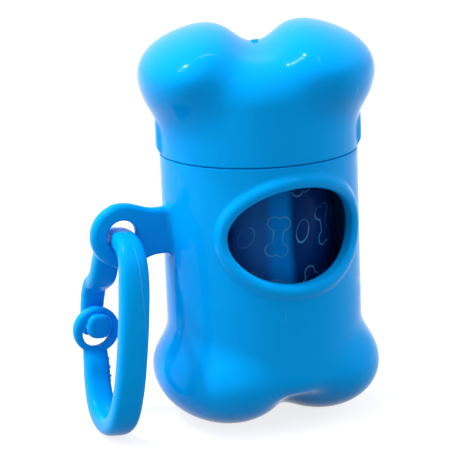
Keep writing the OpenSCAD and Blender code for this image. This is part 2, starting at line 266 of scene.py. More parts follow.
class Nodes:
    """A node tree with short calls to add nodes and to set or link their inputs."""

    def __init__(self, tree: bpy.types.NodeTree) -> None:
        """Wraps a tree."""
        self.tree = tree

    def feed(self, socket: bpy.types.NodeSocket, value: Input) -> None:
        """Sets a socket to a value, or links it to a wire.

        Args:
            socket: The input socket.
            value: A wire, or a number or colour that is the same everywhere.
        """
        if isinstance(value, Wire):
            self.tree.links.new(value.socket, socket)
        else:
            socket.default_value = value

    def fill(self, sockets: bpy.types.bpy_prop_collection, values: dict) -> None:
        """Feeds sockets by name, where a name has _ for each space."""
        for key, value in values.items():
            self.feed(sockets[key.replace("_", " ")], value)

    def add(self, kind: str, settings: dict | None = None, **inputs: Input) -> bpy.types.Node:
        """Adds a node.

        Args:
            kind: The node's type name.
            settings: Values for the node's own properties.
            inputs: Values or wires for its inputs, named as in Blender with _ for a space.

        Returns:
            The new node.
        """
        node = self.tree.nodes.new(kind)
        for key, value in (settings or {}).items():
            setattr(node, key, value)
        self.fill(node.inputs, inputs)
        return node

    def outputs(self, kind: str, settings: dict | None = None, **inputs: Input) -> dict:
        """Adds a node as add does, and returns its outputs by name, as wires."""
        node = self.add(kind, settings, **inputs)
        return {socket.name: Wire(self, socket) for socket in node.outputs}

    def math(self, operation: str, *values: Input) -> Wire:
        """Adds a Math node.

        Args:
            operation: The node's operation.
            values: Its inputs.

        Returns:
            The result.
        """
        node = self.add("ShaderNodeMath", {"operation": operation})
        for socket, value in zip(node.inputs, values):
            self.feed(socket, value)
        return Wire(self, node.outputs[0])

    def length(self, x: Wire, y: Wire) -> Wire:
        """Length of the diagonal across x and y."""
        return self.math("SQRT", x * x + y * y)

    def ramp(self, value: Wire, low: float, high: float, to_low: float = 0.0,
             to_high: float = 1.0) -> Wire:
        """Maps a value smoothly from one range to another, and holds it outside them.

        Args:
            value: The value.
            low: Where the first range starts.
            high: Where it ends.
            to_low: What low becomes.
            to_high: What high becomes.

        Returns:
            The mapped value.
        """
        return self.outputs("ShaderNodeMapRange", {"interpolation_type": "SMOOTHSTEP"},
                            Value=value, From_Min=low, From_Max=high, To_Min=to_low,
                            To_Max=to_high)["Result"]

    def noise(self, place: Wire, scale: float, detail: float = 2.0) -> Wire:
        """Grey noise at a place, with the given scale in features for each metre."""
        node = self.add("ShaderNodeTexNoise", Vector=place, Scale=scale, Detail=detail)
        return Wire(self, node.outputs[0])

    def mix(self, share: Wire, a: Input, b: Input) -> Wire:
        """Mixes two colours.

        Args:
            share: 0 for the first colour, 1 for the second.
            a: The first colour.
            b: The second colour.

        Returns:
            The colour between them.
        """
        node = self.add("ShaderNodeMix", {"data_type": "RGBA"})
        for number, value in zip((0, 6, 7), (share, a, b)):
            self.feed(node.inputs[number], value)
        return Wire(self, node.outputs[2])

    def bump(self, strength: float, distance: float, height: Wire) -> Wire:
        """Normal of a surface with fine relief."""
        return self.outputs("ShaderNodeBump", Strength=strength, Distance=distance,
                            Height=height)["Normal"]

    def place(self) -> Wire:
        """Place in the part's frame, in metres."""
        return self.outputs("ShaderNodeTexCoord")["Object"]

    def seen(self) -> Wire:
        """Tells what is looked at from what only gives light.

        Returns:
            1 for the camera, a mirror or clear plastic, 0 where light is gathered.
        """
        rays = self.outputs("ShaderNodeLightPath")
        mirrored = self.math("MAXIMUM", rays["Is Glossy Ray"], rays["Is Transmission Ray"])
        return self.math("MAXIMUM", rays["Is Camera Ray"], mirrored)


class Paint(Nodes):
    """A material with one Principled shader."""

    def __init__(self, name: str) -> None:
        """Makes the material.

        Args:
            name: The material's name.
        """
        self.material = bpy.data.materials.new(name)
        self.material.use_nodes = True
        super().__init__(self.material.node_tree)

    def finished(self, **inputs: Input) -> bpy.types.Material:
        """Feeds the shader's inputs, named with _ for a space, and returns the material."""
        self.fill(self.tree.nodes["Principled BSDF"].inputs, inputs)
        return self.material


class Group:
    """A shader node group with named inputs and outputs, built once and used by many."""

    def __init__(self, name: str, inputs: dict, outputs: dict) -> None:
        """Makes an empty group.

        Args:
            name: The group's name.
            inputs: Socket kinds by input name.
            outputs: Socket kinds by output name.
        """
        self.tree = bpy.data.node_groups.new(name, "ShaderNodeTree")
        for way, sockets in (("INPUT", inputs), ("OUTPUT", outputs)):
            for key, kind in sockets.items():
                self.tree.interface.new_socket(key, in_out=way, socket_type=kind)
        self.nodes = Nodes(self.tree)
        self.source = self.nodes.outputs("NodeGroupInput")
        self.sink = self.nodes.add("NodeGroupOutput").inputs

    def put(self, **values: Wire) -> None:
        """Feeds the group's outputs, named with _ for a space."""
        self.nodes.fill(self.sink, values)

    def use(self, nodes: Nodes, **inputs: Input) -> dict:
        """Places the group in a material's tree and returns its outputs by name."""
        return nodes.outputs("ShaderNodeGroup", {"node_tree": self.tree}, **inputs)


FLOAT, VECTOR, COLOUR = "NodeSocketFloat", "NodeSocketVector", "NodeSocketColor"


def moulded_skin() -> Group:
    """Group for a glossy moulding: slow flow tone, sink waves, fine grain and haze.

    Returns:
        The group.
    """
    made = Group("moulded skin",
                 {"Place": VECTOR, "Tone": FLOAT, "Wave": FLOAT, "Colour": COLOUR},
                 {"Colour": COLOUR, "Height": FLOAT, "Haze": FLOAT})
    n, source = made.nodes, made.source
    place = source["Place"]
    bright = (n.noise(place, 34, 3) - 0.5) * source["Tone"] + 1.0
    tone = n.outputs("ShaderNodeHueSaturation", Value=bright, Color=source["Colour"])
    wave = n.noise(place, 90, 1) * source["Wave"]
    grain = n.noise(place, 2600, 2) * 0.02
    made.put(Colour=tone["Color"], Height=wave + grain,
             Haze=n.ramp(n.noise(place, 210, 5), 0.45, 0.75))
    return made


def handling_wear() -> Group:
    """Group for handling marks: short scuffs in two directions, as a mask.

    Returns:
        The group.
    """
    made = Group("handling wear", {"Place": VECTOR, "Amount": FLOAT}, {"Mask": FLOAT})
    n, place = made.nodes, made.source["Place"]
    patch = n.ramp(n.noise(place, 120, 2), 0.6, 0.72)
    masks = []
    for turn, stretch in (((0.3, 0.2, 0.5), (900, 60, 60)), ((0.1, 0.9, 1.3), (60, 1100, 70))):
        turned = n.outputs("ShaderNodeMapping", Vector=place, Rotation=turn, Scale=stretch)
        masks.append(n.ramp(n.noise(turned["Vector"], 1.0, 1.0), 0.68, 0.74) * patch)
    made.put(Mask=n.math("MAXIMUM", *masks) * made.source["Amount"])
    return made


def round_the_roll() -> Group:
    """Group for places on the roll: the way round it and the height, in millimetres.

    Returns:
        The group.
    """
    made = Group("round the roll", {"Place": VECTOR, "Axis": FLOAT},
                 {"Around": FLOAT, "Height": FLOAT, "Radius": FLOAT})
    n, source = made.nodes, made.source
    part = n.outputs("ShaderNodeSeparateXYZ", Vector=source["Place"])
    x = (part["X"] - source["Axis"]) * MM_IN_METRE
    y = part["Y"] * MM_IN_METRE
    radius = n.length(x, y)
    made.put(Around=n.math("ARCTAN2", x, y * -1.0) * radius, Radius=radius,
             Height=part["Z"] * MM_IN_METRE)
    return made


def outline_print() -> Group:
    """Group for a scattered print of thin bone and oval outlines, as a mask.

    Each cell of a staggered grid holds one outline, moved and tilted by chance.

    Returns:
        The group.
    """
    most_shift, least_tilt, tilt_range = 1.6, 0.47, 2.2
    knob_out, knob_up, knob_r, shaft_half, neck_blend = 2.7, 1.0, 1.3, 0.95, 0.9
    oval_long, oval_wide, oval_mean = 2.3, 1.45, 1.7
    made = Group(
        "outline print",
        {"Around": FLOAT, "Height": FLOAT, "Cell": FLOAT, "Line": FLOAT, "Bone": FLOAT,
         "Shift": FLOAT}, {"Mask": FLOAT})
    n, source = made.nodes, made.source
    cell, height, is_bone = source["Cell"], source["Height"], source["Bone"]
    row = n.math("FLOOR", height / cell)
    across = source["Around"] / cell + n.math("FLOORED_MODULO", row, 2.0) * 0.5
    column = n.math("FLOOR", across)
    seed = n.outputs("ShaderNodeCombineXYZ", X=column, Y=row, Z=source["Shift"])["Vector"]
    chance = n.outputs("ShaderNodeTexWhiteNoise", {"noise_dimensions": "3D"}, Vector=seed)
    draws = n.outputs("ShaderNodeSeparateColor", Color=chance["Color"])
    x = (across - column - 0.5) * cell + (draws["Red"] - 0.5) * most_shift
    y = height - row * cell - cell * 0.5 + (draws["Green"] - 0.5) * most_shift
    tilt = draws["Blue"] * tilt_range + least_tilt
    cos, sin = n.math("COSINE", tilt), n.math("SINE", tilt)
    along, side = abs(x * cos + y * sin), abs(y * cos - x * sin)
    knob = n.length(along - knob_out, side - knob_up) - knob_r
    shaft = n.math("MAXIMUM", along - knob_out, side - shaft_half)
    bone = n.math("SMOOTH_MIN", knob, shaft, neck_blend)
    oval = (n.length(along / oval_long, side / oval_wide) - 1.0) * oval_mean
    gap = bone * is_bone + oval * (1.0 - is_bone)
    made.put(Mask=n.ramp(abs(gap) / source["Line"], 0.75, 1.25, 1.0, 0.0))
    return made


def wound_edge() -> Group:
    """Group for the end faces of wound sheets: fine ridges, one for each turn of sheet.

    Returns:
        The group.
    """
    made = Group("wound edge", {"Radius": FLOAT, "Pitch": FLOAT},
                 {"Height": FLOAT, "Dark": FLOAT})
    n, source = made.nodes, made.source
    wave = n.math("SINE", source["Radius"] / source["Pitch"] * (2 * math.pi))
    made.put(Height=wave, Dark=n.ramp(wave, -1.0, 0.2, 0.6, 0.0))
    return made


@dataclass(frozen=True)
class BagFilm:
    """Thin navy polyethylene film with a pale outline print."""

    name: str = "navy_bag_film"
    colour: tuple = (0.0, 0.02, 0.12, 1)
    # Lighter colours of the painted sheen bands, which stand in for light through the window
    painted_sheen_wide: tuple = (0.012, 0.10, 0.33, 1)
    painted_sheen_core: tuple = (0.0, 0.17, 0.55, 1)
    print_colour: tuple = (0.05, 0.23, 0.46, 1)
    edge_shade: tuple = (0.0, 0.004, 0.03, 1)
    tint: tuple = (0.1, 0.5, 1.0, 1)
    roughness: float = 0.3
    print_cell: float = 11.6
    print_line: float = 0.16
    ply_pitch: float = 0.13

    def material(self, place_group: Group, print_group: Group, edge_group: Group,
                 axis: float) -> bpy.types.Material:
        """Builds the material.

        Args:
            place_group: The group that gives places on the roll.
            print_group: The outline print group.
            edge_group: The wound edge group.
            axis: The barrel axis's X in the part's frame, in metres.

        Returns:
            The finished material.
        """
        n = Paint(self.name)
        place = n.place()
        roll = place_group.use(n, Place=place, Axis=axis)
        normal = n.outputs("ShaderNodeNewGeometry")["Normal"]
        end_face = n.ramp(abs(n.outputs("ShaderNodeSeparateXYZ", Vector=normal)["Z"]), 0.5, 0.8)
        bones, ovals = (
            print_group.use(n, Around=roll["Around"] + start, Height=roll["Height"],
                            Cell=self.print_cell, Line=self.print_line, Bone=bone,
                            Shift=shift)["Mask"]
            for start, bone, shift in ((3.0, 1.0, 0.0), (8.8, 0.0, 3.0)))
        faded = n.ramp(n.noise(place, 200, 2), 0.35, 0.62, 0.25, 0.85)
        ink = n.math("MAXIMUM", bones, ovals) * faded * (1.0 - end_face)
        edge = edge_group.use(n, Radius=roll["Radius"], Pitch=self.ply_pitch)
        # Painted sheen: lighter upright bands stand in for light that falls through the window
        # onto the film
        wander = (n.noise(place, 60, 2) - 0.5) * 3.0
        film = self.colour
        for start, inner, outer, sheen_tone in ((7.5, 3.6, 5.6, self.painted_sheen_wide),
                                           (2.2, 1.2, 3.4, self.painted_sheen_core)):
            away = abs(roll["Around"] + start + wander)
            film = n.mix(n.ramp(away, inner, outer, 1.0, 0.0), film, sheen_tone)
        printed = n.mix(ink, film, self.print_colour)
        upright = n.outputs("ShaderNodeMapping", Vector=place, Scale=(1.0, 1.0, 0.12))
        folds = n.noise(upright["Vector"], 330, 3)
        return n.finished(
            Base_Color=n.mix(edge["Dark"] * end_face, printed, self.edge_shade),
            Roughness=ink * 0.15 + self.roughness,
            Normal=n.bump(0.5, 0.0003, folds + edge["Height"] * end_face * 0.3),
            IOR=1.5, Specular_IOR_Level=0.08, Specular_Tint=self.tint)


@dataclass(frozen=True)
class CorePaper:
    """Grey-brown wound paper of the roll's core."""

    name: str = "core_paper"
    colour: tuple = (0.50, 0.42, 0.31, 1)
    shade: tuple = (0.33, 0.26, 0.18, 1)
    ply_pitch: float = 0.4
    seam_pitch: float = 31.4
    seam_slope: float = 0.9

    def material(self, place_group: Group, edge_group: Group, axis: float) -> bpy.types.Material:
        """Builds the material.

        Args:
            place_group: The group that gives places on the roll.
            edge_group: The wound edge group.
            axis: The barrel axis's X in the part's frame, in metres.

        Returns:
            The finished material.
        """
        n = Paint(self.name)
        place = n.place()
        roll = place_group.use(n, Place=place, Axis=axis)
        plies = edge_group.use(n, Radius=roll["Radius"], Pitch=self.ply_pitch)
        # The paper strip is wound as a helix, which leaves one sloping seam
        around = n.math("FLOORED_MODULO", roll["Around"] + roll["Height"] * self.seam_slope,
                        self.seam_pitch)
        seam = n.ramp(abs(around - self.seam_pitch / 2), 0.15, 0.35, 1.0, 0.0)
        fibre = n.ramp(n.noise(place, 1500, 4), 0.35, 0.7)
        mark = n.math("MAXIMUM", fibre * 0.5, seam * 0.8)
        mark = n.math("MAXIMUM", mark, plies["Dark"] * 0.5)
        return n.finished(
            Base_Color=n.mix(mark, self.colour, self.shade), Roughness=0.92,
            Normal=n.bump(0.4, 0.0002, fibre - seam), Specular_IOR_Level=0.2)


@dataclass(frozen=True)
class MouldedPlastic:
    """Glossy polypropylene, coloured in the mass."""

    name: str
    colour: tuple
    # Lighter tone for scuffs, and for the painted highlight along the parting line
    scuff_and_highlight: tuple
    roughness: float
    wear: float
    wave: float
    tint: tuple = (0.45, 0.75, 1.0, 1)

    def material(self, skin: Group, wear: Group,
                 parting_x: float | None = None) -> bpy.types.Material:
        """Builds the material.

        Args:
            skin: The moulded skin group.
            wear: The handling wear group.
            parting_x: X of the upright plane where the mould's halves met, if its line shows.

        Returns:
            The finished material.
        """
        n = Paint(self.name)
        place = n.place()
        surface = skin.use(n, Place=place, Tone=0.1, Wave=self.wave, Colour=self.colour)
        marks = wear.use(n, Place=place, Amount=self.wear)["Mask"]
        colour, height = n.mix(marks, surface["Colour"], self.scuff_and_highlight), surface["Height"]
        if parting_x is not None:
            x = n.outputs("ShaderNodeSeparateXYZ", Vector=place)["X"]
            line = n.ramp(abs((x - parting_x) * MM_IN_METRE), 0.04, 0.16, 1.0, 0.0)
            # The parting line is a small ridge in the bump, also drawn lighter as a painted
            # highlight along it
            ridge_and_highlight = line * n.ramp(n.noise(place, 130, 2), 0.35, 0.6)
            colour = n.mix(ridge_and_highlight * 0.12, colour, self.scuff_and_highlight)
            height = height + ridge_and_highlight * 0.5
        return n.finished(
            Base_Color=colour, Roughness=surface["Haze"] * 0.03 + self.roughness + marks * 0.25,
            Normal=n.bump(0.25, 0.00012, height),
            IOR=1.49, Specular_IOR_Level=0.06, Specular_Tint=self.tint)


AZURE = MouldedPlastic("azure_polypropylene", (0.0, 0.345, 0.87, 1), (0.1, 0.5, 0.95, 1),
                       roughness=0.13, wear=0.5, wave=1.0)
AZURE_STRAP = MouldedPlastic("azure_strap", (0.0, 0.345, 0.86, 1), (0.25, 0.6, 1.0, 1),
                             roughness=0.22, wear=0.8, wave=2.0)


# ------------------------------------------------------------------ bone ends
def blend_min(a: np.ndarray, b: np.ndarray, k: float) -> np.ndarray:
    """Smooth minimum of two distances, blended over k."""
    h = np.clip(0.5 + 0.5 * (b - a) / k, 0, 1)
    return b * (1 - h) + a * h - k * h * (1 - h)


@dataclass(frozen=True)
class BoneEnd:
    """One end of the bone: two long lobes blended with each other and with the barrel.

    The end rises from height 0. It is mirrored for the lower end by whoever uses it.
    """

    spread: float
    half: tuple
    lobe_at: float
    lobe_blend: float
    waist_blend: float
    plug_at: float
    square: float = 2.0
    slope: float = 0.0
    barrel_r: float = BARREL_R
    edge: float = 4.0
    centre_z: float = 10.0
    reach: float = 45.0
    search_steps: int = 60
    search_pace: float = 0.85

    def lobe_gap(self, p: np.ndarray, side: int) -> np.ndarray:
        """Distance from each point to one lobe, which is squarer than an ellipse and slopes.

        Args:
            p: The points.
            side: 1 for the right lobe, -1 for the left one.

        Returns:
            The distances, negative inside the lobe.
        """
        n, turn = self.square, side * math.radians(self.slope)
        q = p - np.array([side * self.spread, 0, self.lobe_at])
        a = np.abs(q[..., 0] * math.cos(turn) - q[..., 2] * math.sin(turn)) / self.half[0]
        b = np.abs(q[..., 1]) / self.half[1]
        c = np.abs(q[..., 0] * math.sin(turn) + q[..., 2] * math.cos(turn)) / self.half[2]
        w = np.maximum(a**n + c**n, TINY)
        k = np.hypot(w**(1 / n), b)
        ease = w**(2 / n - 1)
        rise = (ease * a**(n - 1) / self.half[0], b / self.half[1],
                ease * c**(n - 1) / self.half[2])
        return k * (k - 1) / np.maximum(np.linalg.norm(rise, axis=0), TINY)

    def plug_gap(self, p: np.ndarray) -> np.ndarray:
        """Distance from each point to the barrel's closed, round-edged end.

        Args:
            p: The points.

        Returns:
            The distances, negative inside the barrel.
        """
        side = np.hypot(p[..., 0], p[..., 1]) - self.barrel_r + self.edge
        cap = p[..., 2] - self.plug_at + self.edge
        outside = np.hypot(np.maximum(side, 0), np.maximum(cap, 0))
        return outside + np.minimum(np.maximum(side, cap), 0) - self.edge

    def gap(self, p: np.ndarray) -> np.ndarray:
        """Distance from each point to the whole end."""
        lobes = blend_min(self.lobe_gap(p, 1), self.lobe_gap(p, -1), self.lobe_blend)
        return blend_min(lobes, self.plug_gap(p), self.waist_blend)

    def cast(self, start: np.ndarray, way: np.ndarray) -> np.ndarray:
        """Points where rays from inside reach the surface.

        Args:
            start: Where each ray starts.
            way: Unit direction of each ray.

        Returns:
            The points on the surface.
        """
        t = np.full(way.shape[:-1], self.reach)
        for _ in range(self.search_steps):
            t = t - self.search_pace * self.gap(start + t[..., None] * way)
        return start + t[..., None] * way

    def dome(self, angles: np.ndarray, rows: int) -> list:
        """Rings from just beside the pole down to the height of the ray centre.

        Args:
            angles: Angles of the columns.
            rows: Number of rings.

        Returns:
            The points of each ring.
        """
        rings = []
        for v in np.radians(np.linspace(0, 90, rows + 1)[1:]):
            way = np.stack([math.sin(v) * np.cos(angles), math.sin(v) * np.sin(angles),
                            np.full_like(angles, math.cos(v))], 1)
            rings.append(self.cast(np.array([0, 0, self.centre_z]), way))
        return rings

    def waist(self, angles: np.ndarray, heights: Iterable[float]) -> list:
        """Level rings at the given heights."""
        way = np.stack([np.cos(angles), np.sin(angles), np.zeros_like(angles)], 1)
        return [self.cast(np.array([0, 0, z]), way) for z in heights]

    def pole(self) -> np.ndarray:
        """The point in the middle of the notch."""
        return self.cast(np.array([0, 0, self.centre_z]), np.array([0.0, 0.0, 1.0]))


@dataclass(frozen=True)
class Hollows:
    """Two hollows in the lobes, which the end of the roll's chamber opens into."""

    spread: float
    half: tuple
    centre_z: float
    up: int

    def pressed(self, ring: np.ndarray) -> np.ndarray:
        """Presses the hollows into a level ring of the chamber's end.

        Args:
            ring: Points of the ring.

        Returns:
            The moved ring.
        """
        up, out = self.up, ring.copy()
        for side in (-1, 1):
            share = (((ring[:, 0] - side * self.spread) / self.half[0])**2
                     + (ring[:, 1] / self.half[1])**2)
            deep = self.centre_z + up * self.half[2] * np.sqrt(np.clip(1 - share, 0, 1))
            moved = up * np.maximum(up * out[:, 2], up * deep)
            out[:, 2] = np.where(share < 1, moved, out[:, 2])
        return out


def chamber_end(bore_r: float, z: float, up: int) -> list:
    """The round corner and the flat end of the roll's chamber.

    Args:
        bore_r: The chamber's radius.
        z: Height of its end.
        up: 1 for the ceiling, -1 for the floor.

    Returns:
        [radius, height] pairs from the wall inward.
    """
    r = 0.8
    flat = [[x, z] for x in np.arange(bore_r - 2 * r, 0.5, -1.0)]
    return corner((bore_r - r, z - up * r), r, 0, up * 90) + flat


def settle(piece: bpy.types.Object, finish: bpy.types.Material, body: Body, slot: Slot,
           *nodes: str) -> bpy.types.Object:
    """Dresses a piece, lets it ride on its body and puts it in the place of its nodes.

    Args:
        piece: The piece, in the part's frame.
        finish: Its material.
        body: The body that it moves with.
        slot: The record's finish that it belongs to; not used.
        nodes: The nodes that it stands for.

    Returns:
        The same piece.
    """
    piece.data.materials.append(finish)
    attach(piece, body.value)
    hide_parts(*nodes)
    return piece


# ------------------------------------------------------------------ base
@dataclass(frozen=True)
class Window:
    """The oval dispensing window with its rounded bead."""

    half_w: float = 13.4
    half_h: float = 9.7
    z: float = 41.0
    barrel_r: float = BARREL_R
    wall: float = 2.4
    inner_round: float = 0.35
    # Flank, crest and inner lip of the bead, as [distance from the window's edge, height]
    bead: tuple = ((3.7, 0.0), (3.1, 0.04), (2.6, 0.26), (2.0, 0.64), (1.35, 0.8), (0.7, 0.68),
                   (0.22, 0.32), (0.0, -0.25))

    def profile(self) -> list:
        """The bead and the cut wall, from the barrel's outside to its inside.

        Returns:
            [distance from the window's edge, height over the barrel] pairs.
        """
        r = self.inner_round
        inner = [[r - r * math.cos(a), -self.wall + r - r * math.sin(a)]
                 for a in np.radians([0, 30, 60, 90])]
        cut = [[0.0, -0.9], [0.0, -1.5]]
        return smooth_line(self.bead, 3).tolist() + cut + inner + [[0.9, -self.wall]]

    def ring(self, turn: np.ndarray, away: float, height: float) -> np.ndarray:
        """A ring round the window.

        Args:
            turn: Angles round the window.
            away: Distance out from the window's edge, along the barrel.
            height: Height over the barrel's surface.

        Returns:
            The points of the ring.
        """
        x, z = self.half_w * np.cos(turn), self.half_h * np.sin(turn)
        run = -self.half_w * np.sin(turn) / np.sqrt(1 - (x / self.barrel_r)**2)
        rise = self.half_h * np.cos(turn)
        length = np.hypot(run, rise)
        u = self.barrel_r * np.arcsin(x / self.barrel_r) + away * rise / length
        z = z - away * run / length
        r = self.barrel_r + height
        across = u / self.barrel_r
        if height < 0:
            across = np.arcsin(np.clip(self.barrel_r * np.sin(across) / r, -1, 1))
        return np.stack([r * np.sin(across), -r * np.cos(across), self.z + z], 1)

    def turns(self, edge: np.ndarray) -> np.ndarray:
        """The angle round the window that each point of the frame round it looks to.

        Args:
            edge: Points of the frame.

        Returns:
            The angles.
        """
        across = self.barrel_r * np.arctan2(edge[:, 0], -edge[:, 1])
        widest = self.barrel_r * math.asin(self.half_w / self.barrel_r)
        return np.arctan2((edge[:, 2] - self.z) / self.half_h, across / widest)


def between(a: np.ndarray, b: np.ndarray, share: float) -> np.ndarray:
    """Points between two rings on round walls, by angle, radius and height.

    Args:
        a: Points of the first ring.
        b: Points of the second ring.
        share: How far to go from the first to the second, from 0 to 1.

    Returns:
        The points between.
    """
    turn_a, turn_b = np.arctan2(a[:, 0], -a[:, 1]), np.arctan2(b[:, 0], -b[:, 1])
    turn = turn_a + (turn_b - turn_a) * share
    r_a, r_b = np.hypot(a[:, 0], a[:, 1]), np.hypot(b[:, 0], b[:, 1])
    r = r_a + (r_b - r_a) * share
    z = a[:, 2] + (b[:, 2] - a[:, 2]) * share
    return np.stack([r * np.sin(turn), -r * np.cos(turn), z], 1)


@dataclass(frozen=True)
class HangEye:
    """The hang eye on its arm, moulded to the barrel's side."""

    reach: float = 10.1
    z: float = 41.0
    bore_r: float = 3.15
    eye_r: float = 6.4
    thick: float = 3.0
    arm_h: float = 9.5
    barrel_r: float = BARREL_R
    outer_round: float = 1.15
    bore_round: float = 0.55
    throat: float = 2.6
    root_r: float = 1.3
    sunk: float = 0.5
    # The columns stand closer together on the arm than round the eye
    arm_turn: float = 66.0
    fine_step: float = 0.6
    coarse_step: float = 3.0
    overshoot: float = 4.0
    search_steps: int = 60
    search_pace: float = 0.8

    def outline(self, way: np.ndarray) -> np.ndarray:
        """The outline of the eye and its arm, about the eye's centre.

        Args:
            way: Unit direction of each point from the centre.

        Returns:
            The points of the outline.
        """
        most = self.reach + self.overshoot
        r = np.full(len(way), most)
        for _ in range(self.search_steps):
            p = way * r[:, None]
            disc = np.hypot(p[:, 0], p[:, 1]) - self.eye_r
            arm = np.maximum(np.abs(p[:, 1]) - self.arm_h / 2, -p[:, 0])
            r = np.minimum(r - self.search_pace * blend_min(disc, arm, self.throat), most)
        return way * r[:, None]

    def build(self, shell: Shell) -> None:
        """Adds the eye and its arm.

        Args:
            shell: The base's shell.
        """
        fine = np.arange(-self.arm_turn, self.arm_turn, self.fine_step)
        coarse = np.arange(self.arm_turn, 360 - self.arm_turn, self.coarse_step)
        turn = np.radians(np.concatenate([fine, coarse]))
        way = np.stack([np.cos(turn), np.sin(turn)], 1)
        edge = self.outline(way)
        half, o, b = self.thick / 2, self.outer_round, self.bore_round
        side = [(self.drawn_in(edge, o * (1 - math.cos(a))), -(half - o) - o * math.sin(a))
                for a in np.radians([0, 18, 36, 54, 72, 90])]
        hole = [(way * (self.bore_r + b * (1 - math.cos(a))), -(half - b) - b * math.sin(a))
                for a in np.radians([90, 60, 30, 0])]
        rim, lip = side[-1][0], hole[0][0]
        face = [(lip + (rim - lip) * share, -half) for share in (0.8, 0.6, 0.4, 0.2)]
        front = side + face + hole
        rings = []
        for p, y in front + [(p, -y) for p, y in front[::-1]]:
            x = np.minimum(p[:, 0], self.wall_x(-self.sunk, y)) - self.barrel_r - self.reach
            rings.append(np.stack([x, np.full_like(x, y), self.z + p[:, 1]], 1))
        shell.stack(rings, closed=True)
        self.root(shell)

    def drawn_in(self, edge: np.ndarray, inset: float) -> np.ndarray:
        """The outline moved inward, with the arm's edges kept straight.

        Args:
            edge: Points of the outline.
            inset: How far to move it.

        Returns:
            The moved points.
        """
        run = np.roll(edge, -1, 0) - np.roll(edge, 1, 0)
        out = np.stack([run[:, 1], -run[:, 0]], 1) / np.linalg.norm(run, axis=1)[:, None]
        most = self.arm_h / 2 - inset
        straight = np.stack([edge[:, 0], np.clip(edge[:, 1], -most, most)], 1)
        return np.where(edge[:, :1] > self.reach - 2, straight, edge - out * inset)

    def wall_x(self, away: float, y: np.ndarray | float) -> np.ndarray | float:
        """Distance from the eye's centre to a round wall that stands off the barrel."""
        return self.reach + self.barrel_r - np.sqrt((self.barrel_r + away)**2 - y**2)

    def root(self, shell: Shell) -> None:
        """Adds the fillet where the arm meets the barrel, as a closed collar.

        Args:
            shell: The base's shell.
        """
        r, o, deep = self.root_r, self.outer_round, 0.6
        collar = [(-0.05, r + 0.15)]
        collar += [(r * (1 - math.cos(t)), r * (1 - math.sin(t)) - 0.03)
                   for t in np.radians(np.arange(0, 91, 10))]
        collar += [(r, -0.4), (-deep, -0.4), (-deep, r)]
        rings = []
        for wide, away in collar:
            points = []
            for k, (side_y, side_z) in enumerate(((1, 1), (-1, 1), (-1, -1), (1, -1))):
                a = np.radians(np.linspace(0, 90, 9) + 90 * k)
                y = side_y * (self.thick / 2 - o) + (o + wide) * np.cos(a)
                z = side_z * (self.arm_h / 2 - o) + (o + wide) * np.sin(a)
                points.append(np.stack([y, z], 1))
            y, z = np.concatenate(points).T
            x = self.wall_x(away, y) - self.barrel_r - self.reach
            rings.append(np.stack([x, y, self.z + z], 1))
        shell.stack(rings, closed=True)


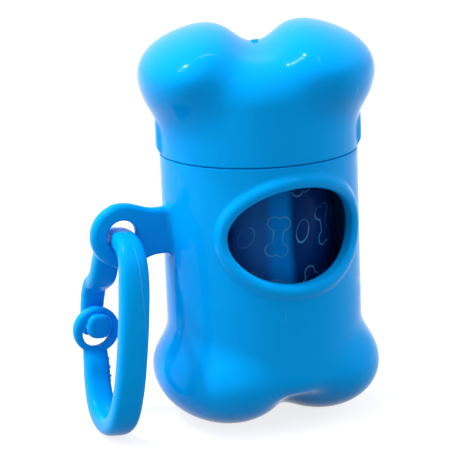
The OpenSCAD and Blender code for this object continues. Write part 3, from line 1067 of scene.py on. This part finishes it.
@dataclass
class Base:
    """The barrel with the lower bone end, the window, the neck and the hang eye."""

    origin: Vector
    end: BoneEnd = BoneEnd(spread=10, half=(13.3, 18.5, 10.6), lobe_at=14.5, lobe_blend=4.6,
                           waist_blend=2.7, plug_at=17)
    hollows: Hollows = Hollows(spread=8.7, half=(8.6, 16.5, 8.6), centre_z=10.6, up=-1)
    window: Window = Window()
    eye: HangEye = HangEye()
    start: float = 24.9
    seam: float = 55.2
    floor: float = 9.6
    barrel_r: float = BARREL_R
    bore_r: float = BORE_R
    neck_r: float = 18.75
    neck_h: float = 8.0
    neck_round: float = 0.35
    mouth_round: float = 0.3
    lip: float = 0.2
    columns: int = COLUMNS
    dome_rows: int = 84
    frame_low: float = 26.2
    frame_rows: int = 26
    frame_half: int = 35

    def angles(self) -> np.ndarray:
        """Angles of the columns, with one column straight to the front."""
        return np.radians(np.arange(self.columns) * 360 / self.columns)

    def frame_loop(self, rows: Sequence[np.ndarray], first: int) -> np.ndarray:
        """Point numbers of the frame round the window, anticlockwise from outside.

        Args:
            rows: Point numbers of the wall's rings that the frame is cut from, upward.
            first: The column of the frame's left side.

        Returns:
            The numbers in order.
        """
        last = first + 2 * self.frame_half
        bottom, top = rows[0][first:last + 1], rows[-1][first:last + 1]
        right = [r[last] for r in rows[1:-1]]
        left = [r[first] for r in rows[1:-1]]
        return np.array([*bottom, *right, *top[::-1], *left[::-1]])

    def neck(self) -> list:
        """The lip at the seam and the neck over it, from the barrel to the bore.

        Returns:
            [radius, height] pairs.
        """
        barrel, neck, bore, lip = self.barrel_r, self.neck_r, self.bore_r, self.lip
        seam, top = self.seam, self.seam + self.neck_h
        outer, inner = self.neck_round, self.mouth_round
        return ([[barrel, seam - lip]] + corner((barrel - lip, seam - lip), lip, 15, 90, 5)
                + [[neck + 0.35, seam], [neck + 0.05, seam + 0.02], [neck, seam + 0.12]]
                + [[neck, seam + 1], [neck, top - 1]]
                + corner((neck - outer, top - outer), outer, 0, 90)
                + corner((bore + inner, top - inner), inner, 90, 180)
                + [[bore, top - 1], [bore, seam + 1]])

    def body(self) -> Shell:
        """The whole moulding as one closed shell.

        Returns:
            The shell, without the hang eye.
        """
        shell, angles = Shell(), self.angles()
        flip, up = np.array([1, 1, -1]), np.array([0, 0, self.start])
        outside = (self.end.dome(angles, self.dome_rows)
                   + self.end.waist(angles, np.arange(9.5, 0.2, -0.5)))
        standing = [-math.inf, -math.inf, 0]
        frame_z = np.linspace(self.frame_low, self.seam - self.lip - 0.12, self.frame_rows)
        chamber = [[self.bore_r, z] for z in np.linspace(self.frame_low - 2, self.floor + 1.5, 6)]
        chamber += chamber_end(self.bore_r, self.floor, -1)

        outer = [shell.ring(np.maximum(r * flip + up, standing)) for r in outside]
        shell.fan(outer[0], self.end.pole() * flip + up)
        walls, upper, inner = (
            [shell.ring(r) for r in lathe(profile, angles)]
            for profile in ([[self.barrel_r, z] for z in frame_z], self.neck(),
                            [[self.bore_r, z] for z in frame_z[::-1]]))
        lower = [shell.ring(self.hollows.pressed(r)) for r in lathe(chamber, angles)]
        shell.fan(lower[-1], (0, 0, self.floor))

        front = 3 * self.columns // 4
        first = front - self.frame_half
        solid = np.ones(self.columns, bool)
        solid[first:front + self.frame_half] = False
        chain = outer + walls + upper + inner + lower
        in_frame = {id(r) for r in walls + inner}
        for a, b in zip(chain, chain[1:]):
            cut = id(a) in in_frame and id(b) in in_frame
            shell.bridge(a, b, solid if cut else None)
        self.cut_window(shell, self.frame_loop(walls, first), self.frame_loop(inner[::-1], first))
        return shell

    def cut_window(self, shell: Shell, outer: np.ndarray, inner: np.ndarray) -> None:
        """Fills the frames on both walls with rings that run in and through the window.

        Args:
            shell: The shell under construction.
            outer: Point numbers of the frame on the outside.
            inner: Point numbers of the frame on the inside.
        """
        points = np.concatenate(shell.points)
        turn = self.window.turns(points[outer])
        edge = [self.window.ring(turn, *p) for p in self.window.profile()]
        rings = [between(points[outer], edge[0], share) for share in (0.3, 0.6, 0.85)]
        rings += edge
        rings += [between(edge[-1], points[inner], share) for share in (0.2, 0.5, 0.75)]
        made = [outer] + [shell.ring(r) for r in rings] + [inner]
        for a, b in zip(made, made[1:]):
            shell.bridge(a, b)

    def build(self, finish: bpy.types.Material) -> bpy.types.Object:
        """Builds the base and puts it in the place of its node.

        Args:
            finish: The plastic.

        Returns:
            The piece.
        """
        shell = self.body()
        self.eye.build(shell)
        made = shell.build("base_shell", self.origin)
        return settle(made, finish, Body.CASE, Slot.PLASTIC, "base")


# ------------------------------------------------------------------ lid
@dataclass
class Lid:
    """The upper bone end with its skirt, thumb ledges and gate mark."""

    origin: Vector
    end: BoneEnd = BoneEnd(spread=12.9, half=(10.9, 19.2, 7.8), lobe_at=16.7, lobe_blend=9,
                           waist_blend=5.3, plug_at=18.9, square=2.34, slope=21, edge=7.5)
    hollows: Hollows = Hollows(spread=9.6, half=(7.7, 17.2, 7.7), centre_z=15.6, up=1)
    turn: float = -19.4
    z: float = 55.4
    skirt_r: float = 18.81
    skirt_h: float = 8.3
    skirt_round: float = 0.2
    bore_r: float = BORE_R
    ceiling: float = 16.0
    lip: float = 0.2
    ledge_out: float = 0.75
    ledge_w: float = 9.4
    ledge_low: float = 0.15
    ledge_slope: float = 1.8
    # How far a ledge's sides are softened inward and outward
    ledge_soft: tuple = (1.4, 0.6)
    gate_r: float = 0.65
    gate_h: float = 0.4
    columns: int = COLUMNS
    dome_rows: int = 90
    side_columns: tuple = (-4.0, -2.6, -1.3, 0.0, 0.9)

    def angles(self) -> np.ndarray:
        """Angles of the columns, set closer at the sides of the thumb ledges.

        Returns:
            The angles in order.
        """
        even = np.arange(self.columns) * 360 / self.columns
        side = math.degrees(math.asin(self.ledge_w / 2 / self.end.barrel_r))
        near = [(centre + way * side + more) % 360 for centre in (0, 180) for way in (-1, 1)
                for more in self.side_columns]
        return np.radians(np.sort(np.array([*even, *near])))

    def ledged(self, ring: np.ndarray) -> np.ndarray:
        """Pushes a ring out where the thumb ledges stand.

        Args:
            ring: Points of a level ring.

        Returns:
            The moved ring.
        """
        rise = 1 - (1 - np.clip((ring[0, 2] - self.ledge_low) / self.ledge_slope, 0, 1)) ** 2
        out = self.end.barrel_r + self.ledge_out * rise
        r = np.hypot(ring[:, 0], ring[:, 1])
        half, (inward, outward) = self.ledge_w / 2, self.ledge_soft
        tab = 1 - smooth_step(np.abs(ring[:, 1]), half - inward, half + outward)
        more = np.maximum(out - r, 0) * tab
        return ring * np.stack([1 + more / r, 1 + more / r, np.ones_like(r)], 1)

    def underside(self) -> list:
        """The lip, the skirt's inside and the chamber's upper end, inward.

        Returns:
            [radius, height] pairs.
        """
        barrel, lip, e = self.end.barrel_r, self.lip, self.skirt_round
        skirt, bore, top = self.skirt_r, self.bore_r, self.skirt_h
        return (corner((barrel - lip, lip), lip, -15, -90, 5)
                + [[skirt + 0.3, 0.0]] + corner((skirt + e, e), e, -90, -180)
                + [[skirt, 1.0], [skirt, top - e], [skirt - e, top], [bore + e, top]]
                + [[bore, top + e], [bore, self.ceiling - 2]]
                + chamber_end(bore, self.ceiling, 1))

    def body(self) -> Shell:
        """The whole moulding as one closed shell, about its own axis.

        Returns:
            The shell.
        """
        shell, angles = Shell(), self.angles()
        dome = self.end.dome(angles, self.dome_rows)
        waist = [self.ledged(r) for r in self.end.waist(angles, np.arange(9.7, self.lip, -0.3))]
        inside = [self.hollows.pressed(r) if r[0, 2] > self.skirt_h + 1 else r
                  for r in lathe(self.underside(), angles)]
        rings = shell.stack(dome + waist + inside)
        shell.fan(rings[0], self.end.pole())
        shell.fan(rings[-1], (0, 0, self.ceiling))
        self.add_gate(shell)
        return shell

    def add_gate(self, shell: Shell) -> None:
        """Adds the torn stub that the moulding gate left in the notch.

        Args:
            shell: The lid's shell.
        """
        angles = np.radians(np.arange(0, 360, 15))
        foot, r = self.end.pole()[2], self.gate_r
        top = foot + self.gate_h
        rings = lathe([[r + 0.35, foot - 0.2], [r + 0.08, foot + 0.05], [r, top - 0.12],
                       [r - 0.12, top], [r * 0.5, top]], angles)
        for ring in rings[2:]:
            ring[:, 2] += 0.1 * np.sin(2 * angles + 0.7) + 0.05 * np.sin(5 * angles)
        made = shell.stack(rings)
        shell.fan(made[-1], (0, 0, foot + self.gate_h * 0.6))

    def build(self, finish: bpy.types.Material) -> bpy.types.Object:
        """Builds the lid and puts it in the place of its node.

        Args:
            finish: The plastic.

        Returns:
            The piece.
        """
        shell = self.body()
        a = math.radians(self.turn)
        spin = np.array([[math.cos(a), math.sin(a), 0], [-math.sin(a), math.cos(a), 0], [0, 0, 1]])
        shell.points = [p @ spin + [0, 0, self.z] for p in shell.points]
        made = shell.build("lid_shell", self.origin)
        return settle(made, finish, Body.LID, Slot.PLASTIC, "lid")


# ------------------------------------------------------------------ clip
@dataclass
class Clip:
    """The one-piece loop clip: a strap with a latch eye on one end and a knob on the other.

    A point of a strap's line is (behind the hang eye, below it, width, thickness).
    """

    origin: Vector
    eye_x: float = -30.1
    eye_z: float = 41.0
    lean: float = 6.5
    latch_at: tuple = (11.8, 22.5)
    latch_r: float = 4.9
    latch_bore_r: float = 3.1
    latch_t: float = 2.4
    latch_outer_round: float = 0.8
    latch_bore_round: float = 0.4
    # The hole lies a little low in the eye, which leaves more plastic over it
    latch_bore_drop: float = 0.45
    knob_at: tuple = (15.1, 21.65)
    knob_r: float = 1.75
    knob_head_r: float = 2.6
    knob_head_lift: float = 0.35
    knob_tip: float = 8.9
    knob_round: float = 1.0
    knob_squareness: float = 0.8
    sides: int = 28
    steps: int = 9
    squareness: float = 0.62
    # How far moulding flash stands out of the right edge, by section number
    flash: dict = field(default_factory=lambda: {
        154: 0.2, 156: 0.45, 158: 0.12, 160: 0.38, 162: 0.1, 164: 0.3})
    loop_line: tuple = (
        (12.3, 12.7, 4.8, 3.2), (11.6, 12.2, 5.2, 3.6), (9.4, 10.3, 5.5, 3.8), (8.3, 7, 5.4, 3.8),
        (7.2, 3.8, 5, 3.8), (4.2, 1.3, 5, 3.8), (0, 0.6, 5, 3.8), (-4.4, 1.3, 5.2, 3.8),
        (-7.4, 3.6, 5.5, 4), (-8.9, 8, 5.9, 4.2), (-9.9, 15, 5.9, 4.2), (-10.1, 22, 5.9, 4.2),
        (-9.6, 29, 5.9, 4.2), (-7.6, 35.0, 5.9, 4.2), (-3.6, 38.2, 5.7, 4), (1.3, 38.8, 5.6, 4),
        (5.7, 37.2, 5.5, 4), (8.9, 33.3, 5.3, 3.8), (10.5, 29.4, 5.2, 3.6), (11.8, 26.6, 5, 2.4))
    tongue_line: tuple = (
        (10.3, 10.9, 4.4, 3.2), (11.6, 12.2, 4.75, 3.5), (13.5, 13.1, 4.9, 3.3),
        (14.7, 15.0, 4.9, 3.1), (15.1, 17.8, 4.8, 3), (15.1, 21.4, 4.5, 3), (15.1, 23.6, 4.1, 2.6))

    def place(self, points: np.ndarray) -> np.ndarray:
        """Moves points from the clip's own plane to where the clip hangs.

        Args:
            points: The points, with the hang eye's centre at zero.

        Returns:
            The moved points.
        """
        a = math.radians(self.lean)
        x = points[:, 0] * math.cos(a) + points[:, 2] * math.sin(a)
        z = -points[:, 0] * math.sin(a) + points[:, 2] * math.cos(a)
        return np.stack([x + self.eye_x, points[:, 1], z + self.eye_z], 1)

    def on_plane(self, behind: float, z: float) -> np.ndarray:
        """Place of a point in the clip's middle plane."""
        return self.place(np.array([[0, behind, z]]))[0]

    def strap(self, shell: Shell, line: Sequence, ends: tuple, flash: dict) -> None:
        """Sweeps the strap's rounded section along a line.

        Args:
            shell: The shell that takes the strap.
            line: The points of the strap's line.
            ends: How far each end is domed, in millimetres.
            flash: How far moulding flash stands out of the right edge, by section number.
        """
        p = smooth_line(line, self.steps)
        run = np.gradient(p[:, :2], axis=0)
        run /= np.linalg.norm(run, axis=1)[:, None]
        across = np.stack([-run[:, 1], run[:, 0]], 1)
        a = 2 * math.pi * (np.arange(self.sides) + 0.5) / self.sides
        wide, deep = squared(np.cos(a), self.squareness), squared(np.sin(a), self.squareness)

        def section(k: int, share: float, shift: float) -> np.ndarray:
            """One ring of the strap.

            Args:
                k: The section's number along the line.
                share: The ring's size as a share of the full section.
                shift: How far it is moved along the line.

            Returns:
                The points of the ring, in the clip's own plane.
            """
            centre = p[k, :2] + run[k] * shift
            q = centre + share * p[k, 3] / 2 * deep[:, None] * across[k]
            burr = flash.get(k, 0.0) * np.clip(wide - 0.75, 0, 1) * 4 * (np.abs(deep) < 0.6)
            return np.stack([share * p[k, 2] / 2 * wide + burr, q[:, 0], -q[:, 1]], 1)

        dome = [(math.cos(b), math.sin(b)) for b in np.radians([75, 50, 25])]
        rings = [section(0, s, -ends[0] * d) for s, d in dome]
        rings += [section(k, 1.0, 0.0) for k in range(len(p))]
        rings += [section(len(p) - 1, s, ends[1] * d) for s, d in dome[::-1]]
        made = shell.stack([self.place(r) for r in rings])
        for k, end in ((0, -ends[0]), (-1, ends[1])):
            tip = p[k, :2] + run[k] * end
            shell.fan(made[k], self.on_plane(tip[0], -tip[1]))

    def latch_eye(self, shell: Shell) -> None:
        """Adds the round latch eye.

        Args:
            shell: The loop's shell.
        """
        outer, bore, half = self.latch_outer_round, self.latch_bore_round, self.latch_t / 2
        side = [[self.latch_r - outer + outer * math.cos(b), half - outer + outer * math.sin(b)]
                for b in np.radians([0, 22, 45, 68, 90])]
        hole = [[self.latch_bore_r + bore - bore * math.cos(b), half - bore + bore * math.sin(b)]
                for b in np.radians([90, 60, 30, 0])]
        front = side + hole
        turn = np.radians(np.arange(0, 360, 5))
        rings = []
        for r, y in [[r, -y] for r, y in front] + front[::-1]:
            drop = self.latch_bore_drop * (r < self.latch_bore_r + 0.9)
            rings.append(self.place(np.stack(
                [r * np.cos(turn), np.full_like(turn, y + self.latch_at[0]),
                 r * np.sin(turn) - self.latch_at[1] - drop], 1)))
        shell.stack(rings, closed=True)

    def knob(self, shell: Shell) -> None:
        """Adds the knob, with a domed head that is a little squared.

        Args:
            shell: The tongue's shell.
        """
        turn = np.radians(np.arange(0, 360, 7.5))
        wide = squared(np.cos(turn), self.knob_squareness)
        tall = squared(np.sin(turn), self.knob_squareness)
        ease, head = self.knob_round, self.knob_head_r
        face = self.latch_at[0] - self.latch_t / 2 - 0.05
        # Radius, distance behind the hang eye, and 1 where the head's lift holds
        profile = [[self.knob_r, self.knob_at[0], 0.0], [self.knob_r, face + 0.2, 0.0],
                   [head - 0.4, face, 1.0], [head - 0.1, face - 0.1, 1.0]]
        profile += [[head - ease + ease * math.cos(b),
                     self.knob_tip + ease - ease * math.sin(b), 1.0]
                    for b in np.radians([0, 18, 36, 54, 72, 90])]
        profile += [[0.6, self.knob_tip - 0.05, 1.0]]
        level = [self.knob_head_lift * lift - self.knob_at[1] for _, _, lift in profile]
        rings = [self.place(np.stack([r * wide, np.full_like(turn, y), r * tall + z], 1))
                 for (r, y, _), z in zip(profile, level)]
        made = shell.stack(rings)
        shell.fan(made[0], self.on_plane(self.knob_at[0] + 0.2, level[0]))
        shell.fan(made[-1], self.on_plane(self.knob_tip - 0.06, level[-1]))

    def frame_point(self, behind: float, below: float) -> tuple:
        """A point of the clip's plane in the part's frame, in metres."""
        p = self.on_plane(behind, -below) * MM + np.array(self.origin)
        return tuple(float(v) for v in p)

    def build(self, finish: bpy.types.Material) -> list:
        """Builds the loop and the tongue and puts them in the places of their nodes.

        Args:
            finish: The plastic.

        Returns:
            Both pieces.
        """
        loop = Shell()
        self.strap(loop, self.loop_line, (0.9, 0.6), self.flash)
        self.latch_eye(loop)
        loop_piece = loop.build("clip_loop_strap", self.origin)
        settle(loop_piece, finish, Body.CLIP, Slot.PLASTIC, "clip_loop")
        tongue = Shell()
        self.strap(tongue, self.tongue_line, (0.2, 1.0), {})
        self.knob(tongue)
        tongue_piece = tongue.build("clip_tongue_strap", self.origin)
        tongue_piece.data.materials.append(finish)
        self.frame_point(11.0, 11.2)
        self.frame_point(14.0, 13.4)
        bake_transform(tongue_piece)
        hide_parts("clip_tongue")
        return [loop_piece, tongue_piece]


# ------------------------------------------------------------------ roll
@dataclass
class BagRoll:
    """Fifteen bags wound one after another on a paper core; each bag is a piece of its own."""

    origin: Vector
    bags: int = 15
    roll_r: float = 14.75
    core_r: float = 5.0
    core_bore_r: float = 3.8
    core_round: float = 0.12
    low: float = 9.9
    height: float = 60.0
    gap: float = 0.06
    slit: float = 1.5
    steps: int = 120
    plies: int = 4
    ply_step: float = 0.07
    fold_rows: int = 24

    def wound_r(self, turns: np.ndarray) -> np.ndarray:
        """Radius of the wound film after the given number of turns.

        Args:
            turns: Numbers of turns.

        Returns:
            The radii.
        """
        start = self.core_r + self.gap
        area = (self.roll_r**2 - start**2) / (self.bags + 1)
        return np.sqrt(start**2 + area * turns)

    def top_edge(self, number: int, turn: np.ndarray) -> np.ndarray:
        """How far a bag's film lies below the roll's full height, all round it.

        Args:
            number: The bag's place on the roll.
            turn: Angles round the roll.

        Returns:
            The depths.
        """
        phase = number * 2.4
        lag = 0.16 + 0.1 * math.sin(phase * 1.7)
        return lag + 0.05 * np.sin(turn + phase) + 0.04 * np.sin(3 * turn + 2 * phase)

    def folds(self, turn: np.ndarray, z: float) -> np.ndarray:
        """How far the film of the outermost bag is drawn in by its soft upright folds.

        Args:
            turn: Angles round the roll.
            z: Height.

        Returns:
            The depths.
        """
        lean = 0.02 * (z - 40)
        soft = 0.5 + 0.5 * np.sin(5 * turn + lean)
        sharp = np.exp(-((np.degrees(turn) % 72 - 31 - 3 * lean) / 5)**2)
        return 0.10 * soft + 0.13 * sharp

    def bag(self, number: int) -> Shell:
        """The mesh of one bag, a turn of the spiral that ends at its perforation.

        Args:
            number: The bag's place on the roll, counted from the core.

        Returns:
            The closed shell.
        """
        shell = Shell()
        part = np.linspace(0, 1, self.steps + 1)
        turn = np.radians(self.slit + part * (360 - 2 * self.slit))
        outer = self.wound_r(number + part) - self.gap
        inner = self.wound_r(number - 1 + part)
        down = self.top_edge(number, turn)
        rows = self.fold_rows if number == self.bags else 1
        share = np.linspace(0.0, 1.0, 2 * self.plies + 1)
        ridge = np.where(np.arange(len(share)) % 2 == 0, self.ply_step, 0.0)
        low, high = self.low, self.low + self.height
        section = [(inner + (outer - inner) * s, low + down * 0.6 + r)
                   for s, r in zip(share, ridge)]
        for z in (low + self.height * k / rows for k in range(1, rows)):
            section.append((outer - self.folds(turn, z), np.full_like(turn, z)))
        section += [(inner + (outer - inner) * s, high - down - r)
                    for s, r in zip(share[::-1], ridge[::-1])]
        rings = np.stack([np.stack([r * np.cos(turn), r * np.sin(turn), z], 1)
                          for r, z in section], 1)
        made = shell.stack(rings)
        shell.faces += [made[0][::-1].tolist(), made[-1].tolist()]
        return shell

    def core(self) -> Shell:
        """The paper tube.

        Returns:
            The closed shell.
        """
        shell = Shell()
        low, high, ease = self.low, self.low + self.height, self.core_round
        bore, outer = self.core_bore_r, self.core_r
        profile = [[bore, low + ease], [bore + ease, low], [outer - ease, low],
                   [outer, low + ease], [outer, high - ease], [outer - ease, high],
                   [bore + ease, high], [bore, high - ease]]
        shell.stack(lathe(profile, np.radians(np.arange(0, 360, 4))), closed=True)
        return shell

    def build(self, film: bpy.types.Material, paper: bpy.types.Material) -> list:
        """Builds the core and the bags and puts them in the places of their nodes.

        Args:
            film: The bags' material.
            paper: The core's material.

        Returns:
            All the pieces.
        """
        core = self.core().build("paper_core", self.origin)
        pieces = [settle(core, paper, Body.ROLL, Slot.PAPER, "roll_core")]
        for number in range(1, self.bags + 1):
            made = self.bag(number).build(f"film_bag_{number:02d}", self.origin)
            pieces.append(settle(made, film, Body.ROLL, Slot.FILM, f"bag_{number:02d}"))
        return pieces


# ------------------------------------------------------------------ stage
@dataclass(frozen=True)
class Lamp:
    """A rectangular lamp that faces the object's middle; its lengths are in metres."""

    name: str
    way: tuple
    far: float
    size: tuple
    power: float
    glints: bool = True
    target: tuple = (0, 0, 0.045)

    def build(self) -> None:
        """Adds the lamp; a lamp without glints lights, but isn't mirrored itself."""
        data = bpy.data.lights.new(self.name, "AREA")
        data.shape = "RECTANGLE"
        data.size, data.size_y = self.size
        data.energy = self.power
        made = placed(self.name, data)
        made.visible_glossy = self.glints
        direction = Vector(self.way).normalized()
        made.location = Vector(self.target) + direction * self.far
        made.rotation_mode = "QUATERNION"
        made.rotation_quaternion = direction.to_track_quat("Z", "Y")


@dataclass
class Studio:
    """Pale floor, soft lamps and the camera at the photograph's angle."""

    camera_at: tuple = (-144.06, -339.57, 133.98)
    azimuth: float = -21.88
    pitch: float = 14.42
    roll: float = 2.306
    lens: float = 149.02
    ambient: tuple = (0.34, 0.35, 0.36, 1)
    floor_half: float = 3.0
    floor_colour: tuple = (0.32, 0.32, 0.32, 1)
    # Three softboxes, and small lamps that give crisp highlights
    lamps: tuple = (
        Lamp("left_softbox", (-1.0, 0.1, 0.4), 1.0, (1.2, 1.2), 8.0, glints=False),
        Lamp("right_softbox", (1.0, -0.3, 0.4), 1.0, (1.0, 1.0), 6.0, glints=False),
        Lamp("top_softbox", (-0.2, 0.0, 1.0), 1.0, (0.9, 0.9), 4.2, glints=False),
        Lamp("ceiling_spot_left", (-0.378, 0.146, 0.914), 0.9, (0.042, 0.042), 3.4),
        Lamp("skylight_edge", (-0.53, 0.10, 0.84), 0.9, (0.04, 0.11), 2.4),
        Lamp("ceiling_spot_right", (0.073, -0.685, 0.725), 1.1, (0.05, 0.03), 0.4),
        Lamp("ceiling_spot_middle", (-0.012, -0.473, 0.881), 1.1, (0.03, 0.03), 0.05))

    def camera(self, origin: Vector) -> None:
        """Makes the camera.

        Args:
            origin: The place of the barrel's axis, in metres.
        """
        data = bpy.data.cameras.new("photo_camera")
        data.lens = self.lens
        data.sensor_width = 36
        data.clip_start, data.clip_end = 0.01, 20
        made = placed("photo_camera", data)
        a, p, r = (math.radians(v) for v in (self.azimuth, self.pitch, self.roll))
        forward = Vector((-math.sin(a) * math.cos(p), math.cos(a) * math.cos(p), -math.sin(p)))
        level = Vector((math.cos(a), math.sin(a), 0))
        up = level.cross(forward)
        right = level * math.cos(r) - up * math.sin(r)
        turn = Matrix((right, right.cross(forward), -forward)).transposed().to_4x4()
        made.matrix_world = Matrix.Translation(Vector(self.camera_at) * MM + origin) @ turn
        bpy.context.scene.camera = made

    def world(self) -> None:
        """White behind the object, and a soft grey light from all round."""
        made = bpy.data.worlds.new("studio")
        made.use_nodes = True
        n = Nodes(made.node_tree)
        n.fill(made.node_tree.nodes["Background"].inputs,
               {"Color": n.mix(n.seen(), self.ambient, (1, 1, 1, 1))})
        bpy.context.scene.world = made

    def floor(self) -> None:
        """A wide pale floor that keeps the object's shadow."""
        mesh = bpy.data.meshes.new("studio_floor")
        corners = [(x * self.floor_half, y * self.floor_half, 0)
                   for x, y in ((-1, -1), (1, -1), (1, 1), (-1, 1))]
        mesh.from_pydata(corners, [], [(0, 1, 2, 3)])
        n = Paint("studio_floor_paint")
        away = n.outputs("ShaderNodeVectorMath", {"operation": "LENGTH"}, Vector=n.place())
        pale = n.ramp(away["Value"], 0.08, 0.3, 0.81, 1.0)
        mesh.materials.append(n.finished(
            Base_Color=self.floor_colour, Roughness=1.0, Specular_IOR_Level=0.0,
            Emission_Color=(1, 1, 1, 1), Emission_Strength=n.seen() * pale))
        made = placed("studio_floor", mesh)

    def build(self, origin: Vector) -> None:
        """Builds the whole stage.

        Args:
            origin: The place of the barrel's axis, in metres.
        """
        self.camera(origin)
        for lamp in self.lamps:
            lamp.build()
        self.world()
        self.floor()
        bpy.context.scene.view_settings.view_transform = "Standard"


def main() -> None:
    """Builds each sub-assembly in order and reports what it made."""
    logging.basicConfig(level=logging.INFO, format="%(name)s: %(message)s")
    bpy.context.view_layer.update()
    origin = barrel_axis()
    Studio().build(origin)
    skin, wear = moulded_skin(), handling_wear()
    azure = AZURE.material(skin, wear)
    clip = Clip(origin)
    strap = AZURE_STRAP.material(skin, wear, origin.x + clip.eye_x * MM)
    around, edge = round_the_roll(), wound_edge()
    film = BagFilm().material(around, outline_print(), edge, origin.x)
    paper = CorePaper().material(around, edge, origin.x)
    pieces = [Base(origin).build(azure), Lid(origin).build(azure), *clip.build(strap),
              *BagRoll(origin).build(film, paper)]
    for piece in pieces:
        LOG.info("%s: %d faces", piece.name, len(piece.data.polygons))


if __name__ == "__main__":
    main()
